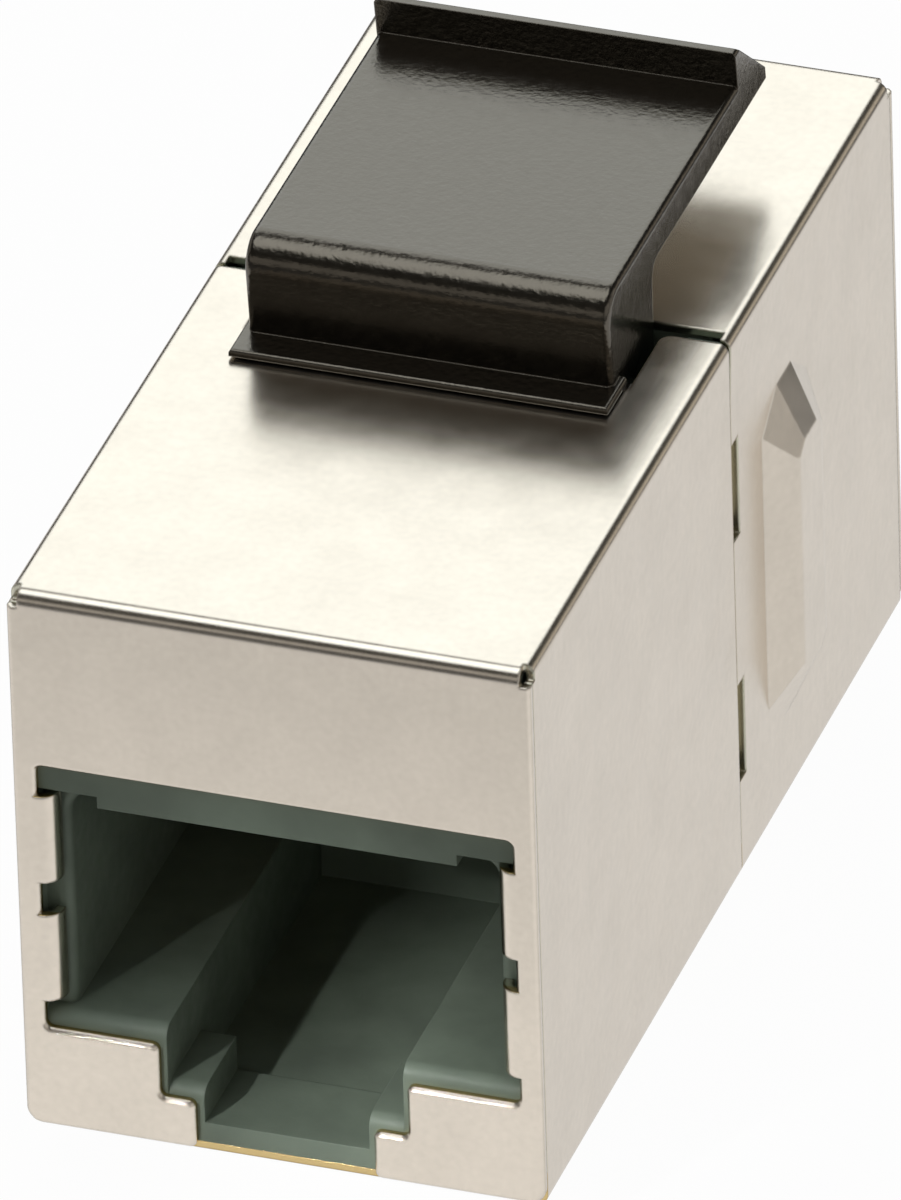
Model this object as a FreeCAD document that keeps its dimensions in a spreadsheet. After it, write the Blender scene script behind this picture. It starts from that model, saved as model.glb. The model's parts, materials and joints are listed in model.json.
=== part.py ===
import FreeCAD
import Part
import Sketcher
import os
import re

# A shielded in-line keystone jack, in millimetres, with +Z up. Each end is drawn in its own socket frame:
# the socket's face is the plane y = 0, the underside of the sleeve is z = 0 and depth runs along +Y.
# The pieces of the rear end are turned half a turn about Z when they are placed. The origin of the whole
# jack is below its middle, on the level of the fixed lug's tip.

SIZES = {
    "body_width": (14.5, "sleeve, across"),
    "body_height": (16.85, "sleeve, underside to top"),
    "body_length": (31.0, "sleeve, face to face"),
    "sheet": (0.25, "thickness of the shield sheet"),
    "bend_radius": (0.3, "outer radius of the long folds"),
    "fold_radius": (0.4, "outer radius of the fold between top and flap"),
    "slit": (0.04, "gap between a flap and the walls behind it"),
    "relief": (0.3, "width of the relief cut at a flap's top corners"),
    "relief_depth": (0.47, "depth of that relief, down and back"),
    "flap_bottom": (0.12, "height of a flap's lower edge"),
    "flap_corner": (0.45, "radius of a flap's lower corners"),
    "edge_roll": (0.1, "rolled edge of a flap's outline"),
    "butt_gap": (0.06, "butt joint along the underside"),
    "butt_at": (4.5, "butt joint, from the middle"),
    "seam_at": (16.8, "front face to the rear edge of the front shield"),
    "seam_gap": (0.03, "gap between the two shields at the sides"),
    "seam_flare": (0.15, "how far the seam opens at the top of the sides"),
    "seam_flare_low": (14.95, "height where the seam starts to open"),
    "top_gap": (0.55, "gap between the two shields on the top"),
    "top_gap_half": (6.95, "half width of the wider gap on the top"),
    "port_half": (6.62, "half width of the opening in a flap"),
    "port_top": (11.45, "upper edge of the opening"),
    "port_ledge": (3.2, "lower edge of the opening beside the tab slot"),
    "step_half": (3.47, "half width of the opening's first step"),
    "step_ledge": (1.58, "height of the first step's lower edge"),
    "slot_half": (2.5, "half width of the tab slot"),
    "port_corner": (0.2, "corner radius of the opening"),
    "finger_radius": (0.5, "outer radius of a curled earthing finger"),
    "finger_depth": (0.62, "how far a finger reaches behind the face"),
    "finger_low": (4.07, "lower end of the lower fingers"),
    "finger_high": (7.8, "lower end of the upper fingers"),
    "finger_width": (2.7, "width of a finger"),
    "notch_half": (5.4, "half width of the latch notch"),
    "notch_front": (13.85, "front edge of the latch notch"),
    "notch_corner": (0.35, "radius of the notch's corners at the seam"),
    "slot_low": (2.98, "lower end of the lower seam slot"),
    "slot_high": (10.58, "lower end of the upper seam slot"),
    "slot_length": (3.06, "length of a seam slot"),
    "slot_width": (0.55, "width of a seam slot"),
    "tongue_play": (0.03, "gap between a tongue and the wall outside it"),
    "tongue_reach": (1.75, "how far a tongue goes beyond the slot"),
    "joggle": (0.3, "length of the step that sets a tongue inwards"),
    "bead_front": (7.85, "bead, edge nearest the rear socket"),
    "bead_back": (11.65, "bead, edge nearest the seam"),
    "bead_low": (2.7, "bead, lower end"),
    "bead_high": (13.3, "bead, upper end"),
    "bead_height": (0.75, "how far a bead stands out"),
    "bead_side_slope": (0.9, "run of a bead's side slopes"),
    "bead_end_slope": (1.7, "run of a bead's end slopes"),
    "bead_nose": (1.3, "taper of a bead's ends, across"),
    "bead_nose_run": (1.0, "taper of a bead's ends, along"),
    "crest_nose": (0.5, "taper of a crest's ends, across"),
    "bead_edge": (0.4, "rounding along a bead's crest"),
    "lug_height": (1.2, "fixed lug, below the sleeve"),
    "lug_half": (5.0, "fixed lug, half width"),
    "lug_front": (4.8, "fixed lug, end nearest the socket"),
    "lug_back": (7.8, "fixed lug, square end"),
    "lug_flat": (6.3, "start of the lug's flat tip"),
    "lug_lead": (0.1, "depth of the lug's lead-in edge below the sleeve"),
    "lug_play": (0.2, "gap round the lug"),
    "housing_play": (0.1, "gap beside a housing"),
    "housing_top_play": (0.05, "gap above a housing"),
    "housing_depth": (14.95, "face to the back of a housing"),
    "entry_half": (6.68, "half width of the recess for the fingers"),
    "entry_inner": (5.0, "inner edge of that recess"),
    "entry_high": (10.65, "upper edge of that recess"),
    "entry_depth": (0.75, "floor of that recess"),
    "cavity_half": (5.95, "half width of the socket cavity"),
    "cavity_low": (3.65, "floor of the socket cavity"),
    "cavity_high": (10.3, "roof of the socket cavity"),
    "cavity_depth": (12.8, "back of the socket cavity"),
    "cavity_corner": (0.6, "radius of the cavity's roof corners"),
    "cavity_lip": (0.25, "rounding of the cavity's mouth beside the fingers"),
    "ledge_round": (0.4, "rounding of the front of the ledges"),
    "tab_half": (3.3, "half width of the tab channel"),
    "tab_ledge": (1.9, "height of the ledge that holds a plug's tab"),
    "tab_slot_half": (2.3, "half width of the tab slot in the housing"),
    "tab_sill": (0.85, "sill of the tab slot"),
    "tab_wall": (2.9, "back of the wall with the tab slot"),
    "tab_floor": (0.6, "floor of the tab channel"),
    "deck_low": (14.7, "underside of the deck that holds the latch"),
    "deck_end": (17.3, "rear end of that deck"),
    "deck_play": (0.1, "gap round the deck"),
    "pocket_half": (5.95, "half width of the latch pocket"),
    "pocket_front": (13.1, "front of the latch pocket"),
    "pocket_floor": (15.0, "floor of the latch pocket"),
    "tongue_room": (6.6, "half width of the rear housing beside the tongues"),
    "block_half": (5.6, "half width of a contact block"),
    "block_front": (2.0, "front of a contact block"),
    "block_back": (13.4, "back of a contact block"),
    "block_high": (13.9, "top of a contact block"),
    "groove_half": (0.25, "half width of a contact groove"),
    "groove_front": (2.5, "front end of a contact groove"),
    "pitch": (1.02, "spacing of the contacts"),
    "wire_width": (0.4, "width of a contact wire"),
    "wire_height": (0.3, "height of a contact wire"),
    "run_level": (12.6, "height of a wire's long run"),
    "high_level": (13.5, "height of the upper row of tails"),
    "jog_back": (14.3, "rear end of an upper tail's jog"),
    "jog_front": (13.7, "front end of an upper tail's jog"),
    "bend_at": (2.9, "where a wire turns down"),
    "bend_level": (10.8, "where a wire turns back"),
    "tip_at": (9.8, "depth of a wire's free tip"),
    "tip_level": (8.6, "height of a wire's free tip"),
    "board_half": (6.4, "half width of the circuit board"),
    "board_low": (1.6, "lower edge of the circuit board"),
    "board_high": (14.3, "upper edge of the circuit board"),
    "board_back": (16.05, "back of the circuit board"),
    "hole_radius": (0.3, "radius of the board's holes"),
    "latch_half": (5.1, "half width of the latch"),
    "latch_root": (1.1, "lower end of the latch's pillar, below the top of the sleeve"),
    "latch_foot": (0.08, "underside of the latch's foot, above the sleeve"),
    "latch_front": (14.0, "front of the pillar in the notch"),
    "latch_wall": (13.5, "front of the pillar at the foot"),
    "latch_brow": (13.2, "front of the pillar at the shoulder"),
    "latch_back": (16.95, "back of the pillar"),
    "latch_top": (3.15, "top of the tongue, above the sleeve"),
    "latch_under": (2.05, "underside of the tongue, above the sleeve"),
    "shoulder_radius": (0.9, "rounding of the shoulder"),
    "inner_radius": (0.55, "rounding under the tongue"),
    "barb_root": (24.42, "front of the barb at the tongue"),
    "barb_front": (24.25, "front of the barb at its crest"),
    "barb_crest": (24.5, "rear edge of the barb's crest"),
    "barb_top": (4.28, "top of the barb, above the sleeve"),
    "barb_corner": (0.15, "rounding of the barb's upper corners"),
    "ramp_end": (26.7, "rear end of the barb's ramp"),
    "ramp_level": (2.42, "height of the ramp's rear end above the sleeve"),
    "tongue_end": (26.75, "rear end of the tongue"),
    "latch_edge": (0.2, "rounding along the latch's sides"),
    "foot_half": (5.3, "half width of the foot"),
    "foot_front": (12.45, "front of the foot"),
    "foot_back": (14.1, "back of the foot"),
    "foot_top": (0.28, "top of the foot, above the sleeve"),
    "foot_edge": (0.1, "rounding of the foot's upper rim"),
    "hook_half": (5.7, "half width of the hook under the sheet"),
    "hook_front": (13.35, "front of the hook"),
    "hook_back": (15.0, "back of the hook"),
    "hook_low": (1.3, "underside of the hook, below the top of the sleeve"),
    "hook_high": (0.5, "top of the hook, below the top of the sleeve"),
}

CONTACTS = 8
SIDES = ("", "-")
CLEAR = "1"

document = FreeCAD.newDocument("KeystoneJack")
sheet_cells = document.addObject("Spreadsheet::Sheet", "Dimensions")


def fill_sheet():
    """Write the driving dimensions, each with an alias."""
    for row, (alias, (size, words)) in enumerate(SIZES.items(), start=1):
        sheet_cells.set(f"A{row}", words)
        sheet_cells.set(f"B{row}", str(size))
        sheet_cells.setAlias(f"B{row}", alias)
    document.recompute()


def bound(text):
    """Turn the alias words of a formula into references to the sheet."""
    def reference(word):
        return f"Dimensions.{word.group()}" if word.group() in SIZES else word.group()
    return re.sub(r"[a-z][a-z_]*", reference, text)


def value(text):
    """The present value of a formula, for choosing edges and first positions."""
    return float(sheet_cells.evalExpression(bound(text)))


def new_body(label):
    """A body whose label names its piece."""
    body = document.addObject("PartDesign::Body", label)
    body.Label = label
    return body


def place(body, end):
    """Put a piece from its socket frame into the jack's frame."""
    turn = 0 if end == "front" else 180
    shift = "-body_length / 2" if end == "front" else "body_length / 2"
    body.Placement = FreeCAD.Placement(FreeCAD.Vector(), FreeCAD.Rotation(FreeCAD.Vector(0, 0, 1), turn))
    body.setExpression("Placement.Base.y", bound(shift))
    body.setExpression("Placement.Base.z", bound("lug_height"))


def new_sketch(body, plane, level):
    """A sketch parallel to one of the body's planes, at a level along the axis across it."""
    sketch = body.newObject("Sketcher::SketchObject", "Sketch")
    support = next(part for part in body.Origin.OriginFeatures if part.Role == plane)
    sketch.AttachmentSupport = [(support, "")]
    sketch.MapMode = "FlatFace"
    offset = f"-({level})" if plane == "XZ_Plane" else level
    sketch.setExpression("AttachmentOffset.Base.z", bound(offset))
    return sketch


def pin_point(sketch, geometry, end, point):
    """Hold a point of the sketch at two formulas."""
    for kind, text in zip(("DistanceX", "DistanceY"), point):
        row = sketch.addConstraint(Sketcher.Constraint(kind, -1, 1, geometry, end, value(text)))
        sketch.setExpression(f"Constraints[{row}]", bound(text))


def draw_lines(sketch, points, closed):
    """Straight lines through the points, each point held at its formulas."""
    places = [FreeCAD.Vector(value(across), value(along), 0) for across, along in points]
    first = sketch.GeometryCount
    count = len(points) if closed else len(points) - 1
    for index in range(count):
        following = places[(index + 1) % len(places)]
        sketch.addGeometry(Part.LineSegment(places[index], following), False)
    for index in range(count if closed else count - 1):
        following = first + (index + 1) % count
        sketch.addConstraint(Sketcher.Constraint("Coincident", first + index, 2, following, 1))
    for index in range(count):
        pin_point(sketch, first + index, 1, points[index])
    if not closed:
        pin_point(sketch, first + count - 1, 2, points[-1])


def box_outline(low_x, high_x, low_y, high_y):
    """The four corners of a rectangle."""
    return [(low_x, low_y), (high_x, low_y), (high_x, high_y), (low_x, high_y)]


def wide(half, low, high):
    """A rectangle centred across the body."""
    return box_outline(f"-({half})", half, low, high)


def extrude(body, kind, plane, outlines, start, end):
    """A Pad or Pocket of closed outlines between two levels, which has to change the body's volume."""
    before = body.Shape.Volume if body.Tip else 0.0
    sketch = new_sketch(body, plane, start)
    for outline in outlines:
        draw_lines(sketch, outline, True)
    feature = body.newObject(f"PartDesign::{kind}", kind)
    feature.Profile = sketch
    feature.setExpression("Length", bound(f"({end}) - ({start})"))
    feature.Reversed = (kind == "Pad") == (plane == "XZ_Plane")
    document.recompute()
    change = body.Shape.Volume - before
    if (change > 0) != (kind == "Pad") or change == 0:
        raise ValueError(f"{body.Label}: a {kind} changed nothing")


def add(body, plane, outline, start, end):
    """Add one outline between two levels."""
    extrude(body, "Pad", plane, [outline], start, end)


def cut(body, plane, outline, start, end):
    """Cut one outline between two levels."""
    extrude(body, "Pocket", plane, [outline], start, end)


def dress(body, kind, size, chosen):
    """A Fillet or Chamfer of the edges that the test picks."""
    base = body.Tip
    names = [f"Edge{number}" for number, edge in enumerate(base.Shape.Edges, start=1) if chosen(edge)]
    if not names:
        raise ValueError(f"{body.Label}: no edge to dress with {size}")
    feature = body.newObject(f"PartDesign::{kind}", kind)
    feature.Base = (base, names)
    feature.setExpression("Radius" if kind == "Fillet" else "Size", bound(size))
    document.recompute()
    if feature.Shape.isNull() or not feature.isValid():
        raise ValueError(f"{body.Label}: a {kind} of {size} failed")


def near(number, *texts):
    """Whether a number is one of the formulas' values."""
    return any(abs(number - value(text)) < 1e-4 for text in texts)


def runs_along(edge, axis):
    """Whether an edge is straight and parallel to an axis."""
    if edge.Curve.TypeId != "Part::GeomLine":
        return False
    return abs(abs(getattr(edge.Curve.Direction, axis)) - 1) < 1e-6


def finger_levels():
    """Lower and upper end of each earthing finger."""
    return [(low, f"{low} + finger_width") for low in ("finger_low", "finger_high")]


def slot_levels():
    """Lower and upper end of each seam slot."""
    return [(low, f"{low} + slot_length") for low in ("slot_low", "slot_high")]


def opening_outline():
    """The stepped opening of a flap, open at the bottom for a plug's tab."""
    right = [
        ("port_half", "port_top"),
        ("port_half", "port_ledge"),
        ("step_half", "port_ledge"),
        ("step_half", "step_ledge"),
        ("slot_half", "step_ledge"),
        ("slot_half", f"flap_bottom - {CLEAR}"),
    ]
    left = [(f"-{across}", up) for across, up in reversed(right)]
    return right + left


def finger_outline(side):
    """An earthing finger, seen from above, before its bend is rounded."""
    points = [
        ("port_half + finger_radius / 4", "0"),
        ("port_half - finger_radius", "0"),
        ("port_half - finger_radius", "finger_depth"),
        ("port_half - finger_radius + sheet", "finger_depth"),
        ("port_half - finger_radius + sheet", "sheet"),
        ("port_half + finger_radius / 4", "sheet"),
    ]
    return [(f"{side}({across})", along) for across, along in points]


def folded_shield(label, depth):
    """A sleeve folded from sheet, with a flap that hangs in front of its walls and holds the opening."""
    body = new_body(label)
    half = "body_width / 2"
    behind_flap = "sheet + slit"
    add(body, "XZ_Plane", wide(half, "0", "body_height"), behind_flap, depth)
    dress(body, "Fillet", "bend_radius", lambda edge: runs_along(edge, "y"))
    cut(body, "XZ_Plane", wide(f"{half} - sheet", "sheet", "body_height - sheet"), behind_flap, depth)
    add(body, "XZ_Plane", wide(half, "body_height - sheet", "body_height"), "0", behind_flap)
    add(body, "XZ_Plane", wide(half, "flap_bottom", "body_height"), "0", "sheet")
    relief_low = "body_height - relief_depth"
    relief_high = f"body_height + {CLEAR}"
    reliefs = [
        box_outline(f"{side}({half} - relief)", f"{side}({half} + {CLEAR})", relief_low, relief_high)
        for side in SIDES]
    extrude(body, "Pocket", "XZ_Plane", reliefs, "0", "relief_depth")

    def is_fold(edge):
        middle = edge.CenterOfMass
        return runs_along(edge, "x") and near(middle.y, "0") and near(middle.z, "body_height")

    def is_flap_corner(edge):
        middle = edge.CenterOfMass
        return runs_along(edge, "y") and near(abs(middle.x), half) and near(middle.z, "flap_bottom")

    def is_opening_corner(edge):
        middle = edge.CenterOfMass
        at_side = near(abs(middle.x), "port_half", "step_half", "slot_half")
        at_level = near(middle.z, "port_top", "port_ledge", "step_ledge", "flap_bottom")
        return runs_along(edge, "y") and near(middle.y, "sheet / 2") and at_side and at_level

    def is_front_rim(edge):
        on_face = edge.BoundBox.YLength < 1e-6 and near(edge.CenterOfMass.y, "0")
        return on_face and edge.CenterOfMass.z < value(f"{relief_low} - edge_roll")

    dress(body, "Fillet", "fold_radius", is_fold)
    dress(body, "Fillet", "flap_corner", is_flap_corner)
    cut(body, "XZ_Plane", opening_outline(), "0", "sheet")
    dress(body, "Fillet", "port_corner", is_opening_corner)
    dress(body, "Chamfer", "edge_roll", is_front_rim)
    add_fingers(body)
    butt = box_outline("-butt_at - butt_gap", "-butt_at", behind_flap, depth)
    cut(body, "XY_Plane", butt, "0", "sheet")
    return body


def add_fingers(body):
    """Two earthing fingers on each side of the opening, curled into the socket."""
    for low, high in finger_levels():
        extrude(body, "Pad", "XY_Plane", [finger_outline(side) for side in SIDES], low, high)

    def is_outer_bend(edge):
        middle = edge.CenterOfMass
        at_bend = near(abs(middle.x), "port_half - finger_radius") and near(middle.y, "0")
        return runs_along(edge, "z") and at_bend

    def is_inner_bend(edge):
        middle = edge.CenterOfMass
        at_bend = near(abs(middle.x), "port_half - finger_radius + sheet") and near(middle.y, "sheet")
        return runs_along(edge, "z") and at_bend

    dress(body, "Fillet", "finger_radius", is_outer_bend)
    dress(body, "Fillet", "finger_radius - sheet", is_inner_bend)


def front_shield():
    """The front sleeve, with a notch in its top for the latch."""
    body = folded_shield("front_shield", "seam_at")
    notch = wide("notch_half", "notch_front", "seam_at")
    cut(body, "XY_Plane", notch, "body_height - sheet", "body_height")

    def at_notch(edge, along):
        middle = edge.CenterOfMass
        beside = near(abs(middle.x), "notch_half") and near(middle.y, along)
        return runs_along(edge, "z") and beside and middle.z > value("body_height / 2")

    dress(body, "Fillet", "notch_corner", lambda edge: at_notch(edge, "seam_at"))
    dress(body, "Fillet", "port_corner", lambda edge: at_notch(edge, "notch_front"))
    place(body, "front")


def rear_shield():
    """The rear sleeve, with slots and tongues at the seam, a bead on each side and room for the lug."""
    depth = "(body_length - seam_at - seam_gap)"
    body = folded_shield("rear_shield", depth)
    set_back = f"{depth} - top_gap + seam_gap"
    cut(body, "XY_Plane", wide("top_gap_half", set_back, depth), "body_height - sheet", "body_height")
    lug_room = wide("lug_half + lug_play", "lug_front - lug_play", depth)
    cut(body, "XY_Plane", lug_room, "0", "sheet")
    outside = f"body_width / 2 + {CLEAR}"
    slots = [box_outline(f"{depth} - slot_width", depth, low, high) for low, high in slot_levels()]
    extrude(body, "Pocket", "YZ_Plane", slots, f"-({outside})", outside)
    flare = [
        (depth, "seam_flare_low"),
        (f"{depth} + {CLEAR}", "seam_flare_low"),
        (f"{depth} + {CLEAR}", f"body_height + {CLEAR}"),
        (f"{depth} - seam_flare", f"body_height + {CLEAR}"),
        (f"{depth} - seam_flare", "body_height - bend_radius"),
    ]
    cut(body, "YZ_Plane", flare, f"-({outside})", outside)
    for side in SIDES:
        add_tongues(body, side, depth)
    for side in SIDES:
        add_bead(body, side)
    place(body, "rear")


def add_tongues(body, side, depth):
    """Tongues that step inwards and reach behind the wall of the front sleeve."""
    wall = "body_width / 2 - sheet"
    outer = f"{wall} - tongue_play"
    inner = f"{outer} - sheet"
    root = f"{depth} - slot_width - joggle"
    edge = f"{depth} - slot_width"
    points = [
        (f"{wall} + sheet / 2", root),
        (f"{wall} + sheet / 2", edge),
        (outer, edge),
        (outer, f"{depth} + tongue_reach"),
        (inner, f"{depth} + tongue_reach"),
        (inner, root),
    ]
    for low, high in slot_levels():
        add(body, "XY_Plane", [(f"{side}({across})", along) for across, along in points], low, high)


def bead_outline(inset, rise):
    """A bead's outline with tapered ends and an inset, some share of the way up its slopes."""
    side_run = f"({inset} + {rise} * bead_side_slope)"
    end_run = f"({inset} + {rise} * bead_end_slope)"
    nose = f"(bead_nose + {rise} * (crest_nose - bead_nose))"
    nose_run = f"({nose} * bead_nose_run / bead_nose)"
    low_y = f"bead_front + {side_run}"
    high_y = f"bead_back - {side_run}"
    low_z = f"bead_low + {end_run}"
    high_z = f"bead_high - {end_run}"
    return [
        (low_y, f"{low_z} + {nose_run}"),
        (f"{low_y} + {nose}", low_z),
        (f"{high_y} - {nose}", low_z),
        (high_y, f"{low_z} + {nose_run}"),
        (high_y, f"{high_z} - {nose_run}"),
        (f"{high_y} - {nose}", high_z),
        (f"{low_y} + {nose}", high_z),
        (low_y, f"{high_z} - {nose_run}"),
    ]


def loft(body, kind, outlines, levels):
    """A loft between two outlines seen from the side, at two levels across the body."""
    sketches = []
    for outline, level in zip(outlines, levels):
        sketch = new_sketch(body, "YZ_Plane", level)
        draw_lines(sketch, outline, True)
        sketches.append(sketch)
    feature = body.newObject(f"PartDesign::{kind}Loft", "Loft")
    feature.Profile = sketches[0]
    feature.Sections = [sketches[1]]
    feature.Ruled = True
    document.recompute()


def add_bead(body, side):
    """A pressed bead: the sheet stands out and is hollow behind."""
    wall = f"{side}(body_width / 2)"
    crest = f"{side}(body_width / 2 + bead_height)"
    inner_wall = f"{side}(body_width / 2 - sheet)"
    inner_crest = f"{side}(body_width / 2 + bead_height - sheet)"
    outer = (bead_outline("0", "0"), bead_outline("0", "1"))
    inner = (bead_outline("sheet", "0"), bead_outline("sheet", "1"))
    loft(body, "Additive", outer, (wall, crest))
    loft(body, "Subtractive", inner, (inner_wall, inner_crest))
    sign = -1 if side else 1

    def is_crest(edge):
        return runs_along(edge, "z") and near(sign * edge.CenterOfMass.x, "body_width / 2 + bead_height")

    dress(body, "Fillet", "bead_edge", is_crest)


def housing(label):
    """A moulded insert with the stepped cavity of an eight-way modular socket."""
    body = new_body(label)
    half = "body_width / 2 - sheet - housing_play"
    top = "body_height - sheet - housing_top_play"
    add(body, "XZ_Plane", wide(half, "sheet", top), "sheet", "housing_depth")
    cut(body, "XZ_Plane", wide("cavity_half", "cavity_low", "cavity_high"), "sheet", "cavity_depth")
    recesses = [
        box_outline(f"{side}entry_inner", f"{side}entry_half", "cavity_low", "entry_high") for side in SIDES]
    extrude(body, "Pocket", "XZ_Plane", recesses, "sheet", "entry_depth")

    def is_roof_corner(edge):
        middle = edge.CenterOfMass
        return runs_along(edge, "y") and near(abs(middle.x), "cavity_half") and near(middle.z, "cavity_high")

    def is_mouth(edge):
        middle = edge.CenterOfMass
        return runs_along(edge, "z") and near(abs(middle.x), "cavity_half") and near(middle.y, "entry_depth")

    def is_ledge_front(edge):
        middle = edge.CenterOfMass
        return runs_along(edge, "x") and near(middle.y, "sheet") and near(middle.z, "cavity_low", "tab_ledge")

    dress(body, "Fillet", "cavity_corner", is_roof_corner)
    dress(body, "Fillet", "cavity_lip", is_mouth)
    cut(body, "XZ_Plane", wide("tab_half", "tab_ledge", "cavity_low"), "sheet", "cavity_depth")
    cut(body, "XZ_Plane", wide("tab_slot_half", "tab_sill", "tab_ledge"), "sheet", "tab_wall")
    cut(body, "XZ_Plane", wide("tab_half", "tab_floor", "tab_ledge"), "tab_wall", "cavity_depth")
    cut(body, "XZ_Plane", wide("block_half", "cavity_high", "block_high"), "block_front", "housing_depth")
    dress(body, "Fillet", "ledge_round", is_ledge_front)
    return body


def front_housing():
    """The front insert, with a deck over the circuit board and a pocket for the latch's root."""
    body = housing("front_housing")
    half = "body_width / 2 - sheet - housing_play"
    top = "body_height - sheet - housing_top_play"
    add(body, "XZ_Plane", wide(half, "deck_low", top), "housing_depth", "deck_end")
    cut(body, "XY_Plane", wide("pocket_half", "pocket_front", "deck_end"), "pocket_floor", top)
    place(body, "front")


def rear_housing():
    """The rear insert, cut back under the deck and beside the tongues, with the fixed lug below."""
    body = housing("rear_housing")
    outside = f"body_width / 2 + {CLEAR}"
    deck_back = "body_length - deck_end - deck_play"
    top = "body_height - sheet - housing_top_play"
    cut(body, "XZ_Plane", wide(outside, "deck_low - deck_play", top), deck_back, "housing_depth")
    tongue_back = "body_length - seam_at - seam_gap - slot_width - joggle - deck_play"
    room = [box_outline(f"{side}tongue_room", f"{side}({outside})", "0", top) for side in SIDES]
    extrude(body, "Pocket", "XZ_Plane", room, tongue_back, "housing_depth")
    lug = [
        ("lug_front", "sheet"),
        ("lug_front", "-lug_lead"),
        ("lug_flat", "-lug_height"),
        ("lug_back", "-lug_height"),
        ("lug_back", "sheet"),
    ]
    add(body, "YZ_Plane", lug, "-lug_half", "lug_half")
    place(body, "rear")


def contact_across(index):
    """Where a contact sits across the socket, from the left as a plug sees it."""
    return f"({index} - {CONTACTS - 1} / 2) * pitch"


def contact_block(end):
    """A comb that carries the eight wires of a socket in grooves."""
    body = new_body(f"{end}_contact_block")
    add(body, "XZ_Plane", wide("block_half", "cavity_high", "block_high"), "block_front", "block_back")
    roof = "run_level + wire_height / 2"
    grooves = []
    for index in range(CONTACTS):
        middle = contact_across(index)
        grooves.append(box_outline(f"{middle} - groove_half", f"{middle} + groove_half", "cavity_high", roof))
    extrude(body, "Pocket", "XZ_Plane", grooves, "groove_front", "block_back")
    place(body, end)


def contact(end, index):
    """A sprung wire: tail in the board, long run in the block, then a turn down and back into the socket."""
    body = new_body(f"{end}_contact_{index + 1}")
    across = contact_across(index)
    tail = "high_level" if index % 2 else "run_level"
    route = [("board_back", tail)]
    if index % 2:
        route += [("jog_back", tail), ("jog_front", "run_level")]
    route += [("bend_at", "run_level"), ("bend_at", "bend_level"), ("tip_at", "tip_level")]
    path = new_sketch(body, "YZ_Plane", across)
    draw_lines(path, route, False)
    section = new_sketch(body, "XZ_Plane", "board_back")
    half = "wire_width / 2"
    outline = box_outline(
        f"{across} - {half}", f"{across} + {half}", f"{tail} - wire_height / 2", f"{tail} + wire_height / 2")
    draw_lines(section, outline, True)
    wire = body.newObject("PartDesign::AdditivePipe", "Wire")
    wire.Profile = section
    wire.Spine = (path, [f"Edge{number}" for number in range(1, len(route))])
    wire.Transition = "Round corner"
    place(body, end)


def circuit_board():
    """The board between the two sockets, with a staggered pair of holes for each contact place."""
    body = new_body("circuit_board")
    add(body, "XZ_Plane", wide("board_half", "board_low", "board_high"), "housing_depth", "board_back")
    sketch = new_sketch(body, "XZ_Plane", "housing_depth")
    for index in range(CONTACTS):
        for level in ("run_level", "high_level"):
            middle = (contact_across(index), level)
            centre = FreeCAD.Vector(value(middle[0]), value(level), 0)
            circle = Part.Circle(centre, FreeCAD.Vector(0, 0, 1), value("hole_radius"))
            hole = sketch.addGeometry(circle, False)
            pin_point(sketch, hole, 3, middle)
            row = sketch.addConstraint(Sketcher.Constraint("Radius", hole, value("hole_radius")))
            sketch.setExpression(f"Constraints[{row}]", bound("hole_radius"))
    holes = body.newObject("PartDesign::Pocket", "Holes")
    holes.Profile = sketch
    holes.setExpression("Length", bound("board_back - housing_depth"))
    place(body, "front")


def above(height):
    """A level above the top of the sleeve."""
    return f"body_height + {height}"


def below(depth):
    """A level below the top of the sleeve."""
    return f"body_height - {depth}"


def latch():
    """The clip that holds the jack in its panel: pillar, tongue, barb, foot and a hook under the sheet."""
    body = new_body("latch")
    profile = [
        ("latch_front", below("latch_root")),
        ("latch_front", above("latch_foot")),
        ("latch_wall", above("latch_foot")),
        ("latch_brow", above("latch_top")),
        ("barb_root", above("latch_top")),
        ("barb_front", above("barb_top")),
        ("barb_crest", above("barb_top")),
        ("ramp_end", above("ramp_level")),
        ("tongue_end", above("latch_under")),
        ("latch_back", above("latch_under")),
        ("latch_back", below("latch_root")),
    ]
    add(body, "YZ_Plane", profile, "-latch_half", "latch_half")

    def is_shoulder(edge):
        middle = edge.CenterOfMass
        return runs_along(edge, "x") and near(middle.y, "latch_brow") and near(middle.z, above("latch_top"))

    def is_inner_corner(edge):
        middle = edge.CenterOfMass
        return runs_along(edge, "x") and near(middle.y, "latch_back") and near(middle.z, above("latch_under"))

    def is_side_edge(edge):
        middle = edge.CenterOfMass
        in_wall = middle.y < value("latch_wall") and middle.z > value(above("foot_top"))
        at_side = near(abs(middle.x), "latch_half")
        return at_side and (in_wall or near(middle.z, above("latch_top")))

    def is_barb_corner(edge):
        middle = edge.CenterOfMass
        at_corner = near(abs(middle.x), "latch_half") and near(middle.z, above("barb_top"))
        return runs_along(edge, "y") and at_corner

    def is_foot_rim(edge):
        middle = edge.CenterOfMass
        at_rim = near(middle.y, "foot_front") or near(abs(middle.x), "foot_half")
        return at_rim and near(middle.z, above("foot_top"))

    dress(body, "Fillet", "shoulder_radius", is_shoulder)
    dress(body, "Fillet", "inner_radius", is_inner_corner)
    dress(body, "Fillet", "latch_edge", is_side_edge)
    dress(body, "Fillet", "barb_corner", is_barb_corner)
    foot = wide("foot_half", "foot_front", "foot_back")
    add(body, "XY_Plane", foot, above("latch_foot"), above("foot_top"))
    dress(body, "Fillet", "foot_edge", is_foot_rim)
    hook = wide("hook_half", "hook_front", "hook_back")
    add(body, "XY_Plane", hook, below("hook_low"), below("hook_high"))
    place(body, "front")


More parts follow.
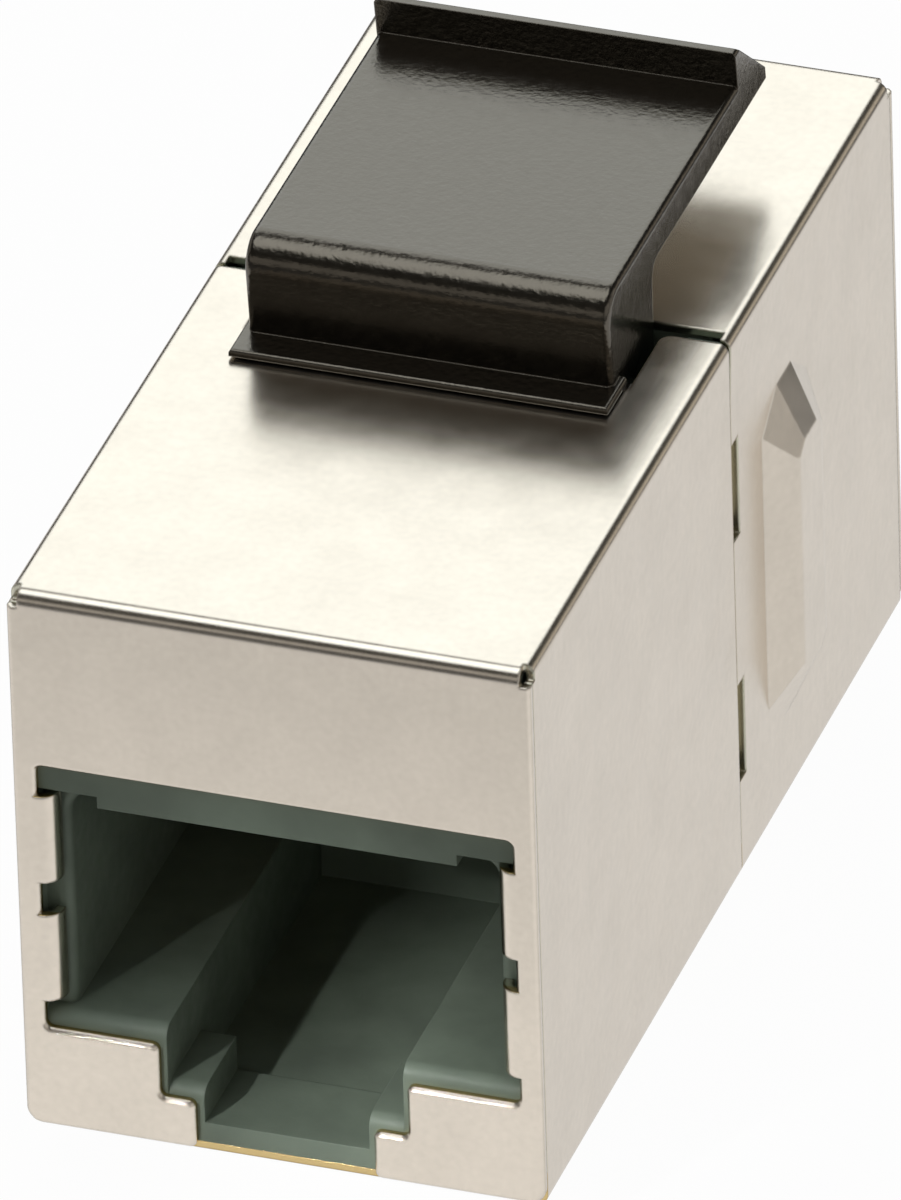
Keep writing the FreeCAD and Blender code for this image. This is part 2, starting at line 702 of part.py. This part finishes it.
def check_pieces(bodies):
    """Stop if a feature failed or a piece is not one valid solid."""
    for item in document.Objects:
        if "Invalid" in item.State or "Error" in item.State:
            raise ValueError(f"{item.Label} failed: {item.State}")
    for body in bodies:
        shape = body.Shape
        if shape.isNull() or not shape.isValid() or len(shape.Solids) != 1:
            raise ValueError(f"{body.Label} is not one valid solid")


def main():
    fill_sheet()
    front_shield()
    rear_shield()
    front_housing()
    rear_housing()
    latch()
    circuit_board()
    for end in ("front", "rear"):
        contact_block(end)
        for index in range(CONTACTS):
            contact(end, index)
    document.recompute()
    bodies = [item for item in document.Objects if item.TypeId == "PartDesign::Body"]
    check_pieces(bodies)
    os.makedirs("parts", exist_ok=True)
    for body in bodies:
        body.Shape.exportStep(f"parts/{body.Label}.step")
        print(f"{body.Label}: {body.Shape.Volume:.2f} mm3")


main()
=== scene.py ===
import json
import math
import bpy
from mathutils import Matrix, Vector


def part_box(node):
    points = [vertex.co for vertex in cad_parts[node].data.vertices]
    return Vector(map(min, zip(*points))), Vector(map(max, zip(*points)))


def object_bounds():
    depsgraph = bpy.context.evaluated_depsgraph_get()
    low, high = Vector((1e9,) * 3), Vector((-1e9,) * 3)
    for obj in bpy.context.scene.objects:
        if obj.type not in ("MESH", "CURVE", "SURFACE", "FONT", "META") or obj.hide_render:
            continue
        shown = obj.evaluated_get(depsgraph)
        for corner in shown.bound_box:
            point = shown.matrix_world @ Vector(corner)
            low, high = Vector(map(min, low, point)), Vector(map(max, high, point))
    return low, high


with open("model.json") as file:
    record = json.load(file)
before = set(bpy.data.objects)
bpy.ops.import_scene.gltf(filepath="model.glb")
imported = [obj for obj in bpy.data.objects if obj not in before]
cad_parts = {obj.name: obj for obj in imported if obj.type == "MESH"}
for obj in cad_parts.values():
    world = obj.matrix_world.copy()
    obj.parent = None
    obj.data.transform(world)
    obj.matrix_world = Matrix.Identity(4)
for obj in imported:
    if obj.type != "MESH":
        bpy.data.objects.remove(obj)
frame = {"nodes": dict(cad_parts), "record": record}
cad_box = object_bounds()

MM = 0.001

# The sleeve's end and underside, in millimetres.
shield_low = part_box("front_shield")[0]
HALF_LENGTH = -shield_low.y / MM
UNDERSIDE = shield_low.z / MM

# Sizes that tell the sheet's sheared edges from its plated faces, in millimetres.
# Sides are from the middle and heights from the underside.
SHEET = 0.25
FLAP_SLACK = 0.01
FLAP_SIDE = 7.0
FOLD_HEIGHT = 16.3
CORNER_SIDE = 6.0
CORNER_HEIGHT = 15.5
FINGER_INNER = 5.9
FINGER_OUTER = 6.62
FINGER_SPANS = ((4.0, 6.85), (7.75, 10.55))
NOTCH_REACH = 5.6
WALL_LOW = 0.5
# Above this height a sheared wall gets a paler brass, painted as reflected light.
PAINTED_SHEEN_HEIGHT = 1.0

# A face looks along an axis if its normal's part along it is over the first, and not if under the second.
SQUARE_ON = 0.7
ASKEW = 0.5

NICKEL = (0.72, 0.65, 0.56, 1)
BRASS = (0.62, 0.47, 0.22, 1)
# A paler, greyer brass: a painted reflection on the sheared walls.
PAINTED_SHEEN_BRASS = (0.68, 0.66, 0.54, 1)
HOUSING_GREY = (0.15, 0.184, 0.145, 1)
LATCH_BLACK = (0.002, 0.002, 0.0018, 1)
LATCH_GLINT = (1.0, 0.89, 0.73, 1)
LATCH_INDEX = 1.65
BLOCK_BLACK = (0.02, 0.021, 0.02, 1)
BOARD_GREEN = (0.02, 0.12, 0.05, 1)
GOLD = (0.80, 0.58, 0.24, 1)
PLAIN_GLINT = (1, 1, 1, 1)
PLAIN_INDEX = 1.5

# The span that most of a noise's values lie in, how finely a rounded edge is found, and how far large faces
# outweigh small ones in the shading.
NOISE_SPAN = (0.3, 0.7)
EDGE_SAMPLES = 6
EVEN_WEIGHT = 100

# The places of a mix's colour sockets, which come after those for numbers and vectors.
MIX_FIRST = 6
MIX_SECOND = 7
MIX_RESULT = 2

# The floor: its size and drop in metres, and how much of it is plain white to the camera and the metal.
FLOOR_SIZE = 3.0
FLOOR_DROP = 0.00002
FLOOR_SHARE = 0.97
PAPER_WHITE = (0.9, 0.89, 0.88, 1)

# The painted pool of light on the floor: how bright reflections see it below the jack, well before it and far
# off, and where that changes.
# The places are in metres along the jack.
FLOOR_NEAR = 0.82
FLOOR_BEFORE = 0.77
FLOOR_FAR = 0.12
UNDER_EDGE = (-0.0165, -0.0145)
BEFORE_EDGE = (-0.045, -0.017)
FADE_EDGE = (0.046, 0.064)

# Tints of the lamps and the surround.
COOL_WHITE = (0.92, 0.98, 1.0)
NOON_WHITE = (0.93, 0.98, 1.0)
SOFT_WHITE = (1.0, 0.98, 0.94)
WARM_WHITE = (1.0, 0.97, 0.92)
AMBER = (1.0, 0.92, 0.78)
SURROUND_TINT = (1.0, 0.96, 0.86, 1)
SURROUND_STRENGTH = 0.06

# The lamp that looks into the front socket: watts, millimetres and the soft share of its patch. The aim is in
# the jack's frame.
SNOOT_POWER = 1.0
SNOOT_DISTANCE = 125.0
SNOOT_RADIUS = 5.0
SNOOT_SOFTNESS = 0.7
PATCH_RADIUS = 5.0
SNOOT_AIM = (1.8, -HALF_LENGTH, 4.2)

# The camera, in degrees and millimetres. The aim is in the jack's frame.
CAMERA_AZIMUTH = 19.52
CAMERA_ELEVATION = 32.695
CAMERA_ROLL = -1.822
CAMERA_DISTANCE = 800.0
CAMERA_AIM = (0.0, 1.5, 9.2)
CAMERA_SHIFT = (-0.814, -0.53)
CAMERA_LENS = 896.1
CAMERA_CLIP = 10.0
SENSOR_HEIGHT = 36.0


class Nodes:
    """A material's nodes, with short ways to add and join them.

    A mask is one where it holds and zero elsewhere.
    """

    def __init__(self, name):
        self.material = bpy.data.materials.new(name)
        self.material.use_nodes = True
        self.tree = self.material.node_tree
        self.place = self.tree.nodes.new("ShaderNodeTexCoord")

    def feed(self, socket, source):
        """Join a source to a socket, or set the socket to a plain value."""
        if isinstance(source, bpy.types.NodeSocket):
            self.tree.links.new(source, socket)
        else:
            socket.default_value = source

    def add(self, kind, inputs):
        """A new node, with its inputs fed by name or number."""
        node = self.tree.nodes.new(kind)
        for key, source in inputs.items():
            self.feed(node.inputs[key], source)
        return node

    def parts(self, kind):
        """The three parts of the object coordinates or of the normal."""
        return self.add("ShaderNodeSeparateXYZ", {0: self.place.outputs[kind]}).outputs

    def math(self, operation, first, second=0.0):
        node = self.add("ShaderNodeMath", {0: first, 1: second})
        node.operation = operation
        return node.outputs[0]

    def above(self, source, limit):
        return self.math("GREATER_THAN", source, limit)

    def below(self, source, limit):
        return self.math("LESS_THAN", source, limit)

    def both(self, first, second):
        return self.math("MULTIPLY", first, second)

    def either(self, first, second):
        return self.math("MAXIMUM", first, second)

    def opposite(self, source):
        return self.math("SUBTRACT", 1.0, source)

    def between(self, source, low, high):
        return self.both(self.above(source, low), self.below(source, high))

    def ramp(self, source, span, low, high):
        """Map a span of the source to low..high."""
        start, end = span
        inputs = {"Value": source, "From Min": start, "From Max": end, "To Min": low, "To Max": high}
        return self.add("ShaderNodeMapRange", inputs)


class Finish(Nodes):
    """A surface of the jack: one shader, with noise for its colour, roughness and grain."""

    def __init__(self, name, base, metallic, specular):
        super().__init__(name)
        self.shader = self.tree.nodes["Principled BSDF"]
        self.shader.inputs["Base Color"].default_value = base
        self.shader.inputs["Metallic"].default_value = metallic
        self.shader.inputs["Specular IOR Level"].default_value = specular

    def noise(self, size_mm, detail=3.0, stretch=(1, 1, 1)):
        """Noise whose largest features are about this size, drawn out along the axes with a small stretch."""
        place = self.add("ShaderNodeMapping", {"Vector": self.place.outputs["Object"], "Scale": stretch})
        inputs = {"Vector": place.outputs[0], "Scale": 1 / (size_mm * MM), "Detail": detail}
        return self.add("ShaderNodeTexNoise", inputs).outputs["Fac"]

    def spread(self, noise, low, high):
        """Map noise from its usual span to low..high."""
        return self.ramp(noise, NOISE_SPAN, low, high).outputs[0]

    def mix(self, factor, first, second, blend="MIX"):
        """Mix two colours."""
        node = self.tree.nodes.new("ShaderNodeMix")
        node.data_type = "RGBA"
        node.blend_type = blend
        self.feed(node.inputs[0], factor)
        self.feed(node.inputs[MIX_FIRST], first)
        self.feed(node.inputs[MIX_SECOND], second)
        return node.outputs[MIX_RESULT]

    def colour(self, source):
        self.feed(self.shader.inputs["Base Color"], source)

    def shade(self, base, tone):
        """The base colour, made lighter or darker by a tone about one."""
        return self.mix(1.0, base, tone, "MULTIPLY")

    def roughness(self, source):
        self.feed(self.shader.inputs["Roughness"], source)

    def bump(self, height, depth_mm, edge_mm):
        """Raise the surface by a height map, over edges rounded by a small radius."""
        edge = self.add("ShaderNodeBevel", {"Radius": edge_mm * MM})
        edge.samples = EDGE_SAMPLES
        inputs = {"Distance": depth_mm * MM, "Height": height, "Normal": edge.outputs[0]}
        self.feed(self.shader.inputs["Normal"], self.add("ShaderNodeBump", inputs).outputs[0])


def cut_edge_masks(finish):
    """Two masks: one where the sheet was sheared rather than plated, and one on the sheared walls, where a
    paler brass is painted as reflected light.
    """
    x, y, z = (finish.math("MULTIPLY", part, 1 / MM) for part in finish.parts("Object"))
    aside = finish.math("ABSOLUTE", x)
    depth = finish.math("SUBTRACT", HALF_LENGTH, finish.math("ABSOLUTE", y))
    height = finish.math("SUBTRACT", z, UNDERSIDE)
    sideways, endways, upwards = (finish.math("ABSOLUTE", part) for part in finish.parts("Normal"))

    in_flap = finish.below(depth, SHEET + FLAP_SLACK)
    in_fold = finish.both(finish.above(height, FOLD_HEIGHT), finish.below(sideways, ASKEW))
    in_corner = finish.both(finish.above(aside, CORNER_SIDE), finish.above(height, CORNER_HEIGHT))
    lower, upper = (finish.between(height, low, high) for low, high in FINGER_SPANS)
    on_finger = finish.both(finish.between(aside, FINGER_INNER, FINGER_OUTER), finish.either(lower, upper))
    on_finger = finish.both(on_finger, finish.below(upwards, ASKEW))
    plated = finish.either(in_fold, on_finger)
    plated = finish.either(plated, finish.above(aside, FLAP_SIDE))
    plated = finish.either(plated, in_corner)
    flap_cut = finish.both(finish.below(endways, ASKEW), finish.opposite(plated))

    across = finish.both(finish.above(sideways, SQUARE_ON), finish.below(aside, NOTCH_REACH))
    level = finish.both(finish.above(upwards, SQUARE_ON), finish.between(height, WALL_LOW, FOLD_HEIGHT))
    wall_cut = finish.either(finish.above(endways, SQUARE_ON), finish.either(across, level))

    flap_part = finish.both(in_flap, flap_cut)
    wall_part = finish.both(finish.opposite(in_flap), wall_cut)
    # Painted reflection: sheared walls above the lowest millimetre get the paler brass.
    painted_sheen = finish.both(wall_part, finish.above(height, PAINTED_SHEEN_HEIGHT))
    return finish.either(flap_part, wall_part), painted_sheen


def plated_sheet():
    """Satin nickel on brass strip: cloudy, faintly rolled, with bare brass where it was sheared, and a paler
    brass painted on the sheared walls as painted reflection.
    """
    finish = Finish("plated_sheet", NICKEL, metallic=1.0, specular=0.5)
    cloud = finish.spread(finish.noise(size_mm=2.0, detail=4.0), low=0.97, high=1.03)
    speck = finish.spread(finish.noise(size_mm=0.25, detail=2.0), low=0.98, high=1.02)
    nickel = finish.shade(NICKEL, finish.math("MULTIPLY", cloud, speck))
    cut, painted_sheen = cut_edge_masks(finish)
    # Sheared walls get the paler brass as painted reflection; the other cuts stay bare brass.
    finish.colour(finish.mix(cut, nickel, finish.mix(painted_sheen, BRASS, PAINTED_SHEEN_BRASS)))
    finish.roughness(finish.spread(finish.noise(size_mm=1.2), low=0.21, high=0.26))
    rolling = finish.noise(size_mm=0.12, detail=2.0, stretch=(1, 0.08, 1))
    finish.bump(rolling, depth_mm=0.0006, edge_mm=0.12)
    return finish.material


def moulded(name, colour, roughness, specular, grain_mm, depth_mm, edge_mm,
            glint=PLAIN_GLINT, index=PLAIN_INDEX):
    """A moulded plastic with an eroded grain and a tint in its shine."""
    finish = Finish(name, colour, metallic=0.0, specular=specular)
    finish.shader.inputs["Specular Tint"].default_value = glint
    finish.shader.inputs["IOR"].default_value = index
    tone = finish.spread(finish.noise(size_mm=2.0), low=0.85, high=1.15)
    finish.colour(finish.shade(colour, tone))
    finish.roughness(finish.spread(finish.noise(size_mm=0.4), *roughness))
    finish.bump(finish.noise(grain_mm), depth_mm, edge_mm)
    return finish.material


def housing_plastic():
    """The grey moulding round each socket, with a fine matte grain."""
    return moulded("housing_plastic", HOUSING_GREY, roughness=(0.42, 0.55), specular=0.25,
                   grain_mm=0.12, depth_mm=0.004, edge_mm=0.05)


def block_plastic():
    """The black moulding that carries the wires."""
    return moulded("block_plastic", BLOCK_BLACK, roughness=(0.45, 0.6), specular=0.4,
                   grain_mm=0.12, depth_mm=0.004, edge_mm=0.04)


def latch_plastic():
    """The glossy black moulding of the latch, with a coarser grain and a warm shine."""
    return moulded("latch_plastic", LATCH_BLACK, roughness=(0.16, 0.24), specular=1.0,
                   grain_mm=0.16, depth_mm=0.012, edge_mm=0.06, glint=LATCH_GLINT, index=LATCH_INDEX)


def gold_wire():
    """Gold-plated spring wire with fine drawing lines along it."""
    finish = Finish("gold_wire", GOLD, metallic=1.0, specular=0.5)
    tone = finish.spread(finish.noise(size_mm=0.8, detail=2.0), low=0.9, high=1.05)
    finish.colour(finish.shade(GOLD, tone))
    finish.roughness(finish.spread(finish.noise(size_mm=0.5, detail=2.0), low=0.18, high=0.3))
    drawing = finish.noise(size_mm=0.06, detail=2.0, stretch=(1, 0.05, 0.3))
    finish.bump(drawing, depth_mm=0.002, edge_mm=0.03)
    return finish.material


def solder_mask():
    """Green solder mask over a woven laminate."""
    finish = Finish("solder_mask", BOARD_GREEN, metallic=0.0, specular=0.5)
    weave = finish.noise(size_mm=0.5, detail=2.0, stretch=(1, 1, 3))
    finish.colour(finish.shade(BOARD_GREEN, finish.spread(weave, low=0.8, high=1.2)))
    finish.roughness(finish.spread(finish.noise(size_mm=0.3, detail=2.0), low=0.25, high=0.4))
    finish.bump(weave, depth_mm=0.004, edge_mm=0.03)
    return finish.material


def dress_nodes():
    """Give every piece its finish, and let its large faces set the shading at their edges."""
    finishes = {"shield_plating": plated_sheet(), "housing_plastic": housing_plastic(),
                "block_plastic": block_plastic(), "latch_plastic": latch_plastic(),
                "contact_plating": gold_wire(), "board_laminate": solder_mask()}
    for part in frame["record"]["subparts"]:
        node = frame["nodes"][part["node"]]
        node.data.materials.clear()
        node.data.materials.append(finishes[part["material_slot"]])
        shading = node.modifiers.new("even_faces", "WEIGHTED_NORMAL")
        shading.weight = EVEN_WEIGHT
        shading.keep_sharp = True


def lay_floor():
    """A pale floor that the camera and the metal see as white, with the jack's soft shadow kept on it."""
    bpy.ops.mesh.primitive_plane_add(size=FLOOR_SIZE, location=(0, 0, -FLOOR_DROP))
    floor = bpy.context.object
    floor.name = "floor"
    floor.data.materials.append(paper())


def paper():
    """White paper, with a painted pool of light: reflections see it brightest just before the front socket,
    and dark far from the jack.
    """
    sheet = Nodes("paper")
    along = sheet.parts("Object")[1]
    near = floor_ramp(sheet, along, UNDER_EDGE, 1.0, FLOOR_NEAR)
    before = floor_ramp(sheet, along, BEFORE_EDGE, FLOOR_BEFORE, 1.0)
    fade = floor_ramp(sheet, sheet.math("ABSOLUTE", along), FADE_EDGE, 1.0, FLOOR_FAR)
    # The painted pool of light that reflections see on the floor.
    pool = sheet.math("MULTIPLY", sheet.math("MINIMUM", near, before), fade)
    path = sheet.tree.nodes.new("ShaderNodeLightPath")
    camera = path.outputs["Is Camera Ray"]
    seen = sheet.math("ADD", camera, path.outputs["Is Glossy Ray"])
    seen = sheet.math("ADD", seen, path.outputs["Is Transmission Ray"])
    share = sheet.math("MULTIPLY", sheet.math("MINIMUM", seen, 1.0), FLOOR_SHARE)
    white = sheet.add("ShaderNodeEmission", {"Strength": sheet.math("MAXIMUM", camera, pool)})
    matte = sheet.add("ShaderNodeBsdfDiffuse", {"Color": PAPER_WHITE})
    mixed = sheet.add("ShaderNodeMixShader", {0: share, 1: matte.outputs[0], 2: white.outputs[0]})
    sheet.tree.nodes.remove(sheet.tree.nodes["Principled BSDF"])
    sheet.feed(sheet.tree.nodes["Material Output"].inputs["Surface"], mixed.outputs[0])
    return sheet.material


def floor_ramp(sheet, source, span, low, high):
    """A change of brightness that starts and ends gently."""
    node = sheet.ramp(source, span, low, high)
    node.interpolation_type = "SMOOTHSTEP"
    return node.outputs[0]


def add_lamp(name, lamp, aim, towards, distance):
    """Place a lamp at a distance from its aim, facing it."""
    lamp_object = bpy.data.objects.new(name, lamp)
    direction = Vector(towards).normalized()
    lamp_object.location = aim + direction * distance
    lamp_object.rotation_euler = direction.to_track_quat("Z", "Y").to_euler()
    bpy.context.scene.collection.objects.link(lamp_object)


def add_softbox(name, towards, distance, width, height, radiance, tint):
    """A softbox that faces the jack from a direction and shines with an even radiance."""
    lamp = bpy.data.lights.new(name, "AREA")
    lamp.shape = "RECTANGLE"
    lamp.size = width
    lamp.size_y = height
    lamp.energy = math.pi * radiance * width * height
    lamp.color = tint
    add_lamp(name, lamp, (cad_box[0] + cad_box[1]) / 2, towards, distance)


def add_snoot(name, towards, aim):
    """A lamp in a snoot, which lights a small round patch about its aim."""
    lamp = bpy.data.lights.new(name, "SPOT")
    lamp.energy = SNOOT_POWER
    lamp.shadow_soft_size = SNOOT_RADIUS * MM
    lamp.spot_size = 2 * math.atan(PATCH_RADIUS / SNOOT_DISTANCE)
    lamp.spot_blend = SNOOT_SOFTNESS
    add_lamp(name, lamp, Vector(aim) * MM, towards, SNOOT_DISTANCE * MM)


def light_scene():
    """Softboxes behind and overhead, a snoot for the socket, dim cards all round and a dark surround."""
    add_softbox("back_softbox", towards=(-0.277, 0.76, 0.6), distance=0.26, width=0.24, height=0.21,
                radiance=1.5, tint=COOL_WHITE)
    add_softbox("top_softbox", towards=(-0.12, -0.11, 0.98), distance=0.25, width=0.17, height=0.2,
                radiance=1.9, tint=NOON_WHITE)
    add_snoot("socket_fill", towards=(-0.35, -0.75, 0.56), aim=SNOOT_AIM)
    add_softbox("front_card", towards=(-0.28, -0.92, 0.27), distance=0.25, width=0.3, height=0.08,
                radiance=0.4, tint=WARM_WHITE)
    add_softbox("wing_card", towards=(0.74, -0.58, 0.34), distance=0.3, width=0.25, height=0.2,
                radiance=0.5, tint=SOFT_WHITE)
    add_softbox("left_wing", towards=(-0.93, 0.16, 0.34), distance=0.28, width=0.3, height=0.15,
                radiance=0.4, tint=SOFT_WHITE)
    add_softbox("right_wing", towards=(0.93, 0.16, 0.34), distance=0.28, width=0.3, height=0.15,
                radiance=0.4, tint=SOFT_WHITE)
    add_softbox("side_card", towards=(0.91, 0.4, 0.05), distance=0.25, width=0.12, height=0.06,
                radiance=0.5, tint=WARM_WHITE)
    add_softbox("right_card", towards=(0.61, 0.78, 0.1), distance=0.25, width=0.14, height=0.08,
                radiance=0.5, tint=AMBER)
    world = bpy.data.worlds.new("surround")
    bpy.context.scene.world = world
    world.use_nodes = True
    background = world.node_tree.nodes["Background"]
    background.inputs["Color"].default_value = SURROUND_TINT
    background.inputs["Strength"].default_value = SURROUND_STRENGTH


def place_camera():
    """The photograph's view: a long lens above and to the right of the front socket."""
    azimuth = math.radians(CAMERA_AZIMUTH)
    elevation = math.radians(CAMERA_ELEVATION)
    roll = math.radians(CAMERA_ROLL)
    flat = math.cos(elevation)
    back = Vector((math.sin(azimuth) * flat, -math.cos(azimuth) * flat, math.sin(elevation)))
    level = Vector((math.cos(azimuth), math.sin(azimuth), 0))
    upright = back.cross(level)
    right = math.cos(roll) * level + math.sin(roll) * upright
    up = math.cos(roll) * upright - math.sin(roll) * level
    place = Vector(CAMERA_AIM) + CAMERA_SHIFT[0] * right + CAMERA_SHIFT[1] * up + CAMERA_DISTANCE * back
    lens = bpy.data.cameras.new("camera")
    lens.sensor_fit = "VERTICAL"
    lens.sensor_height = SENSOR_HEIGHT
    lens.lens = CAMERA_LENS
    lens.clip_start = CAMERA_CLIP * MM
    camera = bpy.data.objects.new("camera", lens)
    camera.matrix_world = Matrix.Translation(place * MM) @ Matrix((right, up, back)).transposed().to_4x4()
    bpy.context.scene.collection.objects.link(camera)
    bpy.context.scene.camera = camera


dress_nodes()
lay_floor()
light_scene()
place_camera()
bpy.context.scene.view_settings.view_transform = "Standard"
